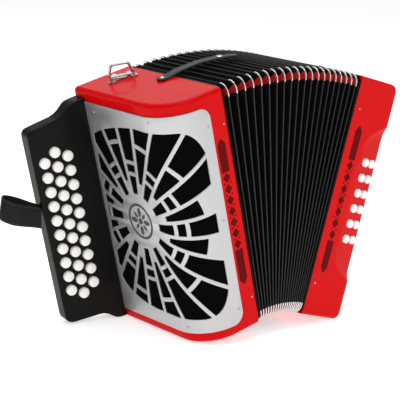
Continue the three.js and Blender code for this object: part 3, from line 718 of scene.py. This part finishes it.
def make_fasteners():
    grille = [(13, 284.5), (18.5, 17.5), (122, 288), (126, 22), (193.4, 270.6), (193.4, 150.8), (193.4, 32.8)]
    make_screws("grille_screws", [on_grille(along, z) for along, z in grille], 1.7, "treble")
    for body, base, x, high, low in (("treble", TREBLE, -4, 265.6, 38.5), ("bass", BASS, 8.6, 268.9, 42)):
        front = [facing(base, x, -HALF_DEPTH, z, (0, -1, 0)) for z in (high, low)]
        back = [facing(base, x, HALF_DEPTH, z, (0, 1, 0)) for z in (high, HEIGHT / 2, low)]
        make_screws(f"{body}_casing_pins", front + back, 1.3, body)


# ---- Ornament that stands in for the lettering ----
def flat_shapes(name, loops, base, body):
    """Thin inlays, 0.15 mm proud, drawn in x and z on a casing's front."""
    bm = bmesh.new()
    for loop in loops:
        low = [bm.verts.new((x, -HALF_DEPTH + 0.2, z)) for x, z in loop]
        high = [bm.verts.new((x, -HALF_DEPTH - 0.15, z)) for x, z in loop]
        ring_skin(bm, [low, high], caps=True)
    made = from_bmesh(name, bm, base, [ORNAMENT], 30)
    ride(made, body, "red_lacquer")


def ornament_loops(x, high_bar, low_bar, width):
    """Two pointed bars with a chain of lozenges and dots between them."""
    half = width / 2
    (top, top_foot), (low_head, bottom) = high_bar, low_bar
    left, right = x - half, x + half
    loops = [
        [(left, top_foot), (right, top_foot), (right, top - 7), (x, top), (left, top - 7)],
        [(left, bottom + 7), (x, bottom), (right, bottom + 7), (right, low_head), (left, low_head)],
    ]
    count, dot = 7, 1.3
    pitch = (top_foot - low_head) / count
    for i in range(count):
        z = low_head + pitch * (i + 0.5)
        loops.append([(x - half, z), (x, z - pitch * 0.44), (x + half, z), (x, z + pitch * 0.44)])
    for i in range(1, count):
        z = low_head + pitch * i
        for side in (-1, 1):
            loops.append([(x + side * half * 0.72 + a, z + b) for a, b in circle(dot, 12)])
    return loops


def make_ornament():
    flat_shapes("treble_front_ornament", ornament_loops(-12.5, (250, 207), (106, 59), 11.5), TREBLE, "treble")
    flat_shapes("bass_front_ornament", ornament_loops(17, (249, 204), (99, 56), 11), BASS, "bass")


# ---- Keys and buttons ----
FACING_FRONT = Matrix.Rotation(math.pi / 2, 4, "X")


def make_button(name, node, profile, steps, base):
    bm = bmesh.new()
    revolve(bm, profile, steps)
    ride(from_bmesh(name, bm, base, [WHITE], 60), node, "white_plastic", node)


def make_buttons():
    crown = [(KEY_RADIUS, 2.7), (6.6, 3.5), (6.0, 4.3), (5.0, 4.9), (3.4, 5.2), (0, 5.3)]
    key = [(0, -3.5), (KEY_RADIUS, -3.5), *crown]
    for row, u in enumerate(KEY_ROWS, 1):
        count, top = (11, KEY_TOP + KEY_PITCH / 2) if row == 2 else (10, KEY_TOP)
        for i in range(count):
            base = KEYBOARD @ Matrix.Translation((-u, 0, top - KEY_PITCH * i)) @ FACING_FRONT
            make_button(f"key_row{row}_{i + 1:02d}", f"treble_key_row{row}_{i + 1:02d}", key, 40, base)
    pip = dome(BASS_BUTTON_RADIUS, -4, 2.0, 3.9)
    lean = Matrix.Rotation(SCOOP_TURN, 4, "Z") @ FACING_FRONT
    for row, x in enumerate(BASS_BUTTON_ROWS, 1):
        y = -HALF_DEPTH + (x - SCOOP_X) * math.tan(SCOOP_TURN)
        for i in range(BASS_BUTTONS_IN_ROW):
            base = BASS @ Matrix.Translation((x, y, BASS_BUTTON_TOP - BASS_BUTTON_PITCH * i)) @ lean
            make_button(f"bass_pip_row{row}_{i + 1:02d}", f"bass_button_row{row}_{i + 1:02d}", pip, 32, base)
    base = BASS @ Matrix.Translation(AIR_BUTTON) @ Matrix.Rotation(math.pi / 2, 4, "Y")
    make_button("air_release", "air_button", dome(6.5, -6, 5.4, 7.8), 36, base)


# ---- Bellows ----
FRAME_DEPTH = 3.6  # end frame and its gaps
PLEAT = 16.0
PEAK_CORNER = 12.0
BELLOWS_RADIUS = FAN_RADIUS - FRAME_DEPTH / math.tan(HALF_FAN)
BELLOWS = FAN @ Matrix.Translation((0, 0, FRAME_DEPTH / math.sin(HALF_FAN)))
SWELL = math.radians(1.8)  # how far the middle folds lie towards the bass
CORNER_STEPS = 6
GUSSET_REACH = 12.0  # how far down the front a corner's gusset goes
GUARD_REACH = 15.0
TOP_REACH = 14.0
TIP = 0.62  # half the blunt edge of a fold
FOLD_SECTION = (  # fraction of the half fold, mm along, depth below the peak; outer skin, then inner
    (-1, -0.35, PLEAT),
    (-0.5, -0.1, PLEAT * 0.52),
    (-0.12, -TIP * 0.95, 2.6),
    (0, -TIP, 1.3),
    (0, -TIP * 0.62, 0.35),
    (0, 0, 0.0),
    (0, TIP * 0.62, 0.35),
    (0, TIP, 1.3),
    (0.12, TIP * 0.95, 2.6),
    (0.5, 0.1, PLEAT * 0.52),
    (1, 0.35, PLEAT),
    (1, 0.35, PLEAT + 1.6),
    (0, 0, 4.4),
    (-1, -0.35, PLEAT + 1.6),
)
# Rows of the fold section that take the tape, lightened as a painted highlight along the peaks.
PAINTED_HIGHLIGHT_TAPE_ROWS = range(3, 7)
OUTER_ROWS = range(10)
GUARD_SECTION = [(-0.75, -1.5), (-0.75, 0.0), (-0.5, 0.4), (0, 0.55)]
GUARD_SECTION += [(0.5, 0.4), (0.75, 0.0), (0.75, -1.5)]


def fan_angle(part):
    return HALF_FAN * (2 * part - 1) + SWELL * math.sin(math.pi * part)


def bellows_loop(inset):
    """Points (radius, y) round the bellows at a depth below the peaks, corner by corner."""
    low, high = BELLOWS_RADIUS + inset, BELLOWS_RADIUS + HEIGHT - inset
    half = HALF_DEPTH - inset
    corner = max(PEAK_CORNER - 0.55 * inset, 3.0)
    upright = max(GUSSET_REACH - inset, corner + 0.4)
    level = max(TOP_REACH - inset, corner + 0.4)
    corners = ((high, -1, -1), (low, 1, -1), (low, 1, 1), (high, -1, 1))
    loop = []
    for number, (radius, inward, side) in enumerate(corners):
        y = side * half
        zone = [(radius + inward * upright, y)]
        for i in range(CORNER_STEPS + 1):
            t = math.pi / 2 * i / CORNER_STEPS
            level_in, side_in = corner * (1 - math.sin(t)), corner * (1 - math.cos(t))
            zone.append((radius + inward * level_in, y - side * side_in))
        zone.append((radius, y - side * level))
        loop += zone if number % 2 else zone[::-1]
    return loop


def is_gusset(index):
    """Whether the loop's step from index is in the upright half of a corner, which is red cloth."""
    corner, place = divmod(index, CORNER_STEPS + 3)
    if corner % 2:
        return place <= CORNER_STEPS // 2
    return CORNER_STEPS // 2 < place < CORNER_STEPS + 2


def on_fan(radius, angle, y):
    return Vector((radius * math.sin(angle), y, radius * math.cos(angle)))


def blend_weight(part):
    """Share of the bass casing's turn that the bellows take at this part of the fan."""
    return (fan_angle(part) + HALF_FAN) / (2 * HALF_FAN)


def inverse_smoothstep(weight):
    return 0.5 - math.sin(math.asin(1 - 2 * min(max(weight, 0), 1)) / 3)


def blend_fold(obj, fold):
    """Works out the share of the fan's turn for the fold's two valleys, which is not used, and bakes the fold's
    placement into its mesh.
    """
    reference = BELLOWS_RADIUS + HEIGHT * 0.85
    part_a, part_b = fold / FOLDS, (fold + 1) / FOLDS
    t_a, t_b = (inverse_smoothstep(blend_weight(p)) for p in (part_a, part_b))
    place_a, place_b = (on_fan(reference, fan_angle(p), 0) for p in (part_a, part_b))
    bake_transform(obj)


def make_fold(fold):
    """One pleat of card, with tape along its edge, lightened as a painted highlight on the peak, and red cloth at
    its corners.
    """
    left, middle, right = (fan_angle((fold + k) / FOLDS) for k in (0, 0.5, 1))
    bm = bmesh.new()
    rings = []
    for fraction, along, inset in FOLD_SECTION:
        share = abs(fraction)
        angle = middle * (1 - share) + (left if fraction < 0 else right) * share
        loop = bellows_loop(inset)
        rings.append([bm.verts.new(on_fan(radius, angle + along / radius, y)) for radius, y in loop])

    def material(row, index):
        if row in PAINTED_HIGHLIGHT_TAPE_ROWS:
            return 1
        return 2 if row in OUTER_ROWS and is_gusset(index) else 0

    ring_skin(bm, rings, closed_rings=True, material=material)
    skin = from_bmesh(f"bellows_fold_{fold + 1:02d}", bm, BELLOWS, [CARD, TAPE_WITH_PAINTED_HIGHLIGHT, GUSSET], 50)
    blend_fold(skin, fold)
    return skin


def make_guards(fold):
    """Four bent metal guards over the fold's corners."""
    angle = fan_angle((fold + 0.5) / FOLDS)
    radial, tangent = on_fan(1, angle, 0), on_fan(1, angle + math.pi / 2, 0)
    bm = bmesh.new()
    for high, side in ((1, -1), (1, 1), (0, -1), (0, 1)):
        edge = BELLOWS_RADIUS + HEIGHT * high
        inward = -1 if high else 1
        corner = Vector((edge + inward * PEAK_CORNER, side * (HALF_DEPTH - PEAK_CORNER)))
        path = [(Vector((edge + inward * GUARD_REACH, side * HALF_DEPTH)), Vector((0, side)))]
        for i in range(9):
            t = math.pi / 2 * i / 8
            out = Vector((-inward * math.sin(t), side * math.cos(t)))
            path.append((corner + out * PEAK_CORNER, out))
        path.append((Vector((edge, side * (HALF_DEPTH - PEAK_CORNER - 1))), Vector((-inward, 0))))
        stations = []
        for place, out in path:
            up = radial * out.x + Vector((0, out.y, 0))
            stations.append((radial * place.x + Vector((0, place.y, 0)), tangent, up))
        sweep(bm, GUARD_SECTION, stations)
    guards = from_bmesh(f"corner_guards_{fold + 1:02d}", bm, BELLOWS, [GUARD], 50)
    blend_fold(guards, fold)


def make_bellows():
    for fold in range(FOLDS):
        make_fold(fold)
        make_guards(fold)
    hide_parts("bellows")
    for _ in range(4 * FOLDS):
        RNG.random()  # keeps the turns of the screws that are made after the bellows


# ---- Straps ----
def stitches(bm, points, pitch):
    """A row of short sunk threads along a line of points."""
    walked, lengths = 0.0, [0.0]
    for a, b in zip(points, points[1:]):
        walked += (b - a).length
        lengths.append(walked)

    def at(distance):
        i = max(k for k in range(len(points) - 1) if lengths[k] <= distance or k == 0)
        share = (distance - lengths[i]) / max(lengths[i + 1] - lengths[i], 1e-6)
        return points[i].lerp(points[i + 1], min(max(share, 0), 1))

    for k in range(int(walked / pitch)):
        start, end = at(k * pitch + 0.15 * pitch), at(k * pitch + 0.85 * pitch)
        along = (end - start).normalized()
        side = along.orthogonal().normalized()
        other = along.cross(side)
        stations = []
        for share, girth in ((0, 0.1), (0.2, 0.28), (0.8, 0.28), (1, 0.1)):
            stations.append((start.lerp(end, share), side * girth, other * girth))
        sweep(bm, circle(1, 6), stations)


def lift_with_strap(piece):
    """Finds where the strap's riveted end lies on the casing, which is not used, and bakes the piece's placement
    into its mesh.
    """
    start, end = (TREBLE @ Vector((x, 0, HEIGHT)) for x in (-13, 6))
    tuple(start)
    tuple(end)
    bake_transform(piece)


STRAP_RADIUS = FAN_RADIUS + HEIGHT + STRAP_LIFT + STRAP_SHEET / 2
STRAP_MIDDLE = HEIGHT + GAP + STRAP_SHEET / 2  # where the strap lies flat on the casing


def closing_strap_line():
    """The middle of the strap: flat from its riveted end, then over the open bellows."""
    flat = ((STRAP_START, 0.5), (-15, 0.1), (-9, 0), (-4, 0.7))
    places = [Vector((x, 0, STRAP_MIDDLE + rise)) for x, rise in flat]
    for i in range(1, 13):
        angle, sunk = STRAP_REACH * i / 12, 2.6 * max(1 - i / 5, 0)
        level = STRAP_RADIUS * math.cos(angle) - FAN_RADIUS - sunk
        places.append(Vector((STRAP_RADIUS * math.sin(angle), 0, level)))
    return smooth_line(places, 4)


def make_closing_strap():
    """Leather strap riveted to the treble's top, lying over the open bellows."""
    line = closing_strap_line()
    stations = []
    for place, along in zip(line, directions(line)):
        stations.append((place, Vector((0, 1, 0)), Vector((-along.z, 0, along.x))))

    def half_width(place):
        """Half the strap's width: round at the riveted end, tongue-shaped at the other."""
        half = STRAP_WIDTH / 2
        start = min((place.x - STRAP_START + 0.6) / half, 1)
        tip = min((line[-1].x - place.x + 0.5) / (1.7 * half), 1)
        return half * math.sqrt(max(1 - (1 - start) ** 2, 0.02)) * math.sqrt(max(1 - (1 - tip) ** 2, 0.02))

    bm = bmesh.new()
    rings = []
    for place, across, up in stations:
        section = strap_section(2 * half_width(place), STRAP_SHEET - 0.2, 0.55)
        rings.append([bm.verts.new(place + across * a + up * b) for a, b in section])
    ring_skin(bm, rings, caps=True)
    strap = from_bmesh("closing_strap_leather", bm, TREBLE, [STRAP_LEATHER], 50)
    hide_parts("bellows_strap")
    lift_with_strap(strap)
    seam = [(p, a, u) for p, a, u in stations if half_width(p) > STRAP_WIDTH / 2 - 1.2]
    offset, height = STRAP_WIDTH / 2 - 1.7, STRAP_SHEET / 2 - 0.1
    bm = bmesh.new()
    for side in (-1, 1):
        stitches(bm, [p + a * side * offset + u * height for p, a, u in seam], 3.2)
    lift_with_strap(from_bmesh("closing_strap_stitching", bm, TREBLE, [THREAD], 60))


def make_closing_strap_metal():
    """The strap's snap cap and rivet, and the press stud on the bass."""
    cap = [(0, -0.4), (4.7, -0.4), (4.9, 0.2), (4.3, 0.9), (3.2, 1.2), (2.2, 1.05), (0, 0.9)]
    radius = STRAP_RADIUS + STRAP_SHEET / 2
    place = Vector((radius * math.sin(SNAP_ANGLE), 0, radius * math.cos(SNAP_ANGLE) - FAN_RADIUS))
    bm = bmesh.new()
    revolve(bm, cap, 32, Matrix.Translation(place) @ Matrix.Rotation(SNAP_ANGLE, 4, "Y"))
    ride(from_bmesh("closing_strap_snap", bm, TREBLE, [CHROME], 40), "closing_strap", "chrome")
    rivet = [(0, -0.4), (3.4, -0.4), (3.5, 0.1), (3.0, 0.8), (1.8, 1.2), (0, 1.3)]
    bm = bmesh.new()
    revolve(bm, rivet, 32, Matrix.Translation((STRAP_RIVET, 0, STRAP_MIDDLE + STRAP_SHEET / 2)))
    ride(from_bmesh("closing_strap_rivet", bm, TREBLE, [CHROME], 40), "treble", "chrome")
    stud = [(0, 0.3), (7, 0.3), (7, 1.0), (6.4, 1.5), (3.2, 1.7), (3.2, 2.7), (2.7, 3.0), (0, 3.0)]
    bm = bmesh.new()
    revolve(bm, stud, 32, Matrix.Translation((STUD_X, 0, HEIGHT)))
    ride(from_bmesh("press_stud", bm, BASS, [CHROME], 40), "bass", "chrome", "bass_strap_stud")


def make_thumb_strap():
    """Loop that leaves the keyboard's side closed, rises outward and opens; its band leans."""
    side = KEYBOARD_WIDTH + GAP
    route = [(side + 0.2, 4), (94, 3), (108, 0), (121, -1), (130.5, 4.5)]
    route += [(131.5, 12.5), (124, 19), (110, 18.5), (96, 12.5), (side + 0.2, 10.5)]
    line = smooth_line([Vector((u, n, 0)) for u, n in route], 8)
    inners = [Vector((-along.y, along.x, 0)) for along in directions(line)]

    def on_band(middle, across):
        rise = THUMB_RISE * (middle.x - side) + THUMB_TWIST * (middle.y - 4)
        height = THUMB_Z + rise + across * math.cos(THUMB_LEAN)
        return Vector((-max(middle.x - across * math.sin(THUMB_LEAN), side), middle.y, height))

    section = strap_section(THUMB_BAND, THUMB_SHEET, 0.7)
    bm = bmesh.new()
    rings = []
    for place, inner in zip(line, inners):
        ring = [on_band(place + inner * (THUMB_SHEET / 2 + b), a) for a, b in section]
        rings.append([bm.verts.new(point) for point in ring])
    ring_skin(bm, rings, caps=True)
    strap = from_bmesh("thumb_strap_leather", bm, KEYBOARD, [LEATHER], 50)
    ride(strap, "treble", "black_leather", "thumb_strap")
    seam = list(zip(line, inners))[5:-5]
    bm = bmesh.new()
    for across in (-THUMB_BAND / 2 + 2, THUMB_BAND / 2 - 2):
        stitches(bm, [on_band(place - inner * 0.05, across) for place, inner in seam], 3.4)
    ride(from_bmesh("thumb_strap_stitching", bm, KEYBOARD, [THREAD], 60), "treble", "black_leather")


def make_hand_strap():
    """Broad leather band bowed off the bass end, with its two flat ends screwed down."""
    face = BASS_THICKNESS + GAP
    low, high = HAND_STRAP_Z
    places = [Vector((face + 1.5, 0, z)) for z in (low - 26, low - 14, low - 2)]
    for i in range(1, 12):
        t = i / 12
        bulge = 4 * (1 - t) * t * HAND_STRAP_BOW
        height = low + (high - low) * (0.55 * t + 0.45 * t * t * (3 - 2 * t))
        places.append(Vector((face + 1.5 + bulge, 0, height)))
    places += [Vector((face + 1.5, 0, z)) for z in (high + 2, high + 14, high + 26)]
    line = smooth_line(places, 2)
    section = strap_section(HAND_STRAP_WIDTH, 2.8, 1.1)
    bm = bmesh.new()
    rings = []
    for place, along in zip(line, directions(line)):
        out = Vector((along.z, 0, -along.x))
        ring = [place + Vector((0, HAND_STRAP_MIDDLE_Y + a, 0)) + out * b for a, b in section]
        rings.append([bm.verts.new(point) for point in ring])
    ring_skin(bm, rings, caps=True)
    strap = from_bmesh("hand_strap_leather", bm, BASS, [LEATHER], 50)
    ride(strap, "bass", "black_leather", "bass_hand_strap")
    screws = [facing(BASS, face + 3, y, z, (1, 0, 0)) for y in (-8, 30) for z in (30, 280)]
    make_screws("hand_strap_screws", screws, 3.2, "bass")


# ---- Shoulder-strap bracket and ring ----
def make_ring():
    """Wire ring with wide shoulders, hinged on the bracket, and the bracket's screws."""
    half, top = RING_HALF, RING_TOP
    outline = [(0, 0), (half - 2, 0), (half + 0.6, 0.8), (half + 1, 3.5), (half - 1, top - 5)]
    outline += [(half - 2.6, top - 1.6), (half - 6, top)]
    right = [Vector((x, 0, RING_HINGE + z)) for x, z in outline]
    loop = right + [Vector((-place.x, 0, place.z)) for place in reversed(right[1:])]
    line = smooth_line([loop[-1], *loop, loop[0], loop[1]], 5)[5:-6]
    stations = []
    for place, along in zip(line, directions(line, closed=True)):
        stations.append((place, Vector((-along.z, 0, along.x)), Vector((0, 1, 0))))
    bm = bmesh.new()
    sweep(bm, circle(RING_WIRE, 14), stations, closed=True)
    ring = from_bmesh("shoulder_strap_ring", bm, RING, [CHROME], 60)
    ride(ring, "shoulder_ring", "chrome", "strap_ring")
    screws = [RING @ Matrix.Translation((x, y, 1.6)) for x, y in ((-13.5, -11.5), (15.5, 1.3))]
    make_screws("bracket_screws", screws, 2.2, "treble", ENAMEL)


# ---- CAD nodes that keep their shape ----
def dress(node, material):
    """Gives a CAD node its finish, shaded smooth apart from its true edges."""
    obj = frame["nodes"][node]
    obj.data.materials.clear()
    obj.data.materials.append(material)
    weld = obj.modifiers.new("weld", "WELD")
    weld.merge_threshold = 0.00002
    split = obj.modifiers.new("true_edges", "EDGE_SPLIT")
    split.split_angle = math.radians(34)
    split.use_edge_sharp = False
    normals = obj.modifiers.new("normals", "WEIGHTED_NORMAL")
    normals.mode = "FACE_AREA_WITH_ANGLE"
    normals.weight = 60
    if obj.data.has_custom_normals:
        obj.data.attributes.remove(obj.data.attributes["custom_normal"])
    obj.data.polygons.foreach_set("use_smooth", [True] * len(obj.data.polygons))


def dress_cad():
    for node, material in (
        ("treble_casing", RED),
        ("bass_casing", RED),
        ("keyboard_housing", BLACK),
        ("strap_bracket", CHROME),
        ("treble_reed_board", WOOD),
        ("bass_reed_board", WOOD),
        ("treble_bellows_frame", STAINED),
        ("bass_bellows_frame", STAINED),
    ):
        dress(node, material)


# ---- Studio ----
CAMERA_AIM = PIVOT + Vector((-0.0597, 0, 0.1417))
CAMERA_DISTANCE = 2.0141
AZIMUTH = math.radians(39.18)
ELEVATION = math.radians(13.585)
ROLL = math.radians(-1.42)
LENS = 145.107
LIGHTS = (  # name, place, target, size in metres and power in watts
    ("key", (-0.9, -2.0, 1.5), (0, 0, 0.15), (1.5, 1.5), 12.5),
    ("top", (0.0, 0.3, 2.2), (0, 0, 0.2), (2.0, 2.0), 24),
    ("side", (1.9, -1.4, 1.0), (0, 0, 0.15), (1.0, 1.4), 6),
    ("spark", (-0.35, -0.45, 1.8), (0, 0, 0.2), (0.3, 0.3), 1.4),
    ("back", (1.0, 1.6, 1.25), (0, 0, 0.3), (1.1, 0.9), 2.6),
)


def make_camera():
    """Camera fitted to the photo: it looks along an azimuth, down an elevation and a little rolled."""
    level = math.cos(ELEVATION)
    forward = Vector((math.sin(AZIMUTH) * level, math.cos(AZIMUTH) * level, -math.sin(ELEVATION)))
    right = Vector((math.cos(AZIMUTH), -math.sin(AZIMUTH), 0))
    down = forward.cross(right)
    turned_right = right * math.cos(ROLL) + down * math.sin(ROLL)
    turned_down = down * math.cos(ROLL) - right * math.sin(ROLL)
    turn = Matrix((turned_right, -turned_down, -forward)).transposed().to_4x4()
    data = bpy.data.cameras.new("camera")
    data.sensor_width = 36
    data.lens = LENS
    camera = bpy.data.objects.new("camera", data)
    camera.matrix_world = Matrix.Translation(CAMERA_AIM - forward * CAMERA_DISTANCE) @ turn
    data.clip_end = 50
    bpy.context.scene.collection.objects.link(camera)
    bpy.context.scene.camera = camera


def area_light(name, place, target, size, power):
    data = bpy.data.lights.new(name, "AREA")
    data.shape = "RECTANGLE"
    data.size, data.size_y = size
    data.energy = power
    light = bpy.data.objects.new(name, data)
    light.location = place
    light.rotation_euler = (Vector(target) - Vector(place)).to_track_quat("-Z", "Y").to_euler()
    bpy.context.scene.collection.objects.link(light)


def make_studio():
    bm = bmesh.new()
    bmesh.ops.create_grid(bm, x_segments=2, y_segments=2, size=6)
    paper = Finish("floor", (0.93, 0.93, 0.93), 0.6)
    paper.set("Emission Color", (1, 1, 1, 1))
    paper.set("Emission Strength", 0.57)
    floor = from_bmesh("floor", bm, Matrix.Identity(4), [paper.material])
    world = bpy.data.worlds.new("world")
    world.use_nodes = True
    world.node_tree.nodes["Background"].inputs["Color"].default_value = (1, 1, 1, 1)
    world.node_tree.nodes["Background"].inputs["Strength"].default_value = 0.38
    bpy.context.scene.world = world
    for light in LIGHTS:
        area_light(*light)
    bpy.context.scene.view_settings.view_transform = "Standard"


make_camera()
make_studio()
dress_cad()
make_grille()
make_emblem()
make_fasteners()
make_ornament()
make_buttons()
make_bellows()
make_closing_strap()
make_closing_strap_metal()
make_thumb_strap()
make_hand_strap()
make_ring()
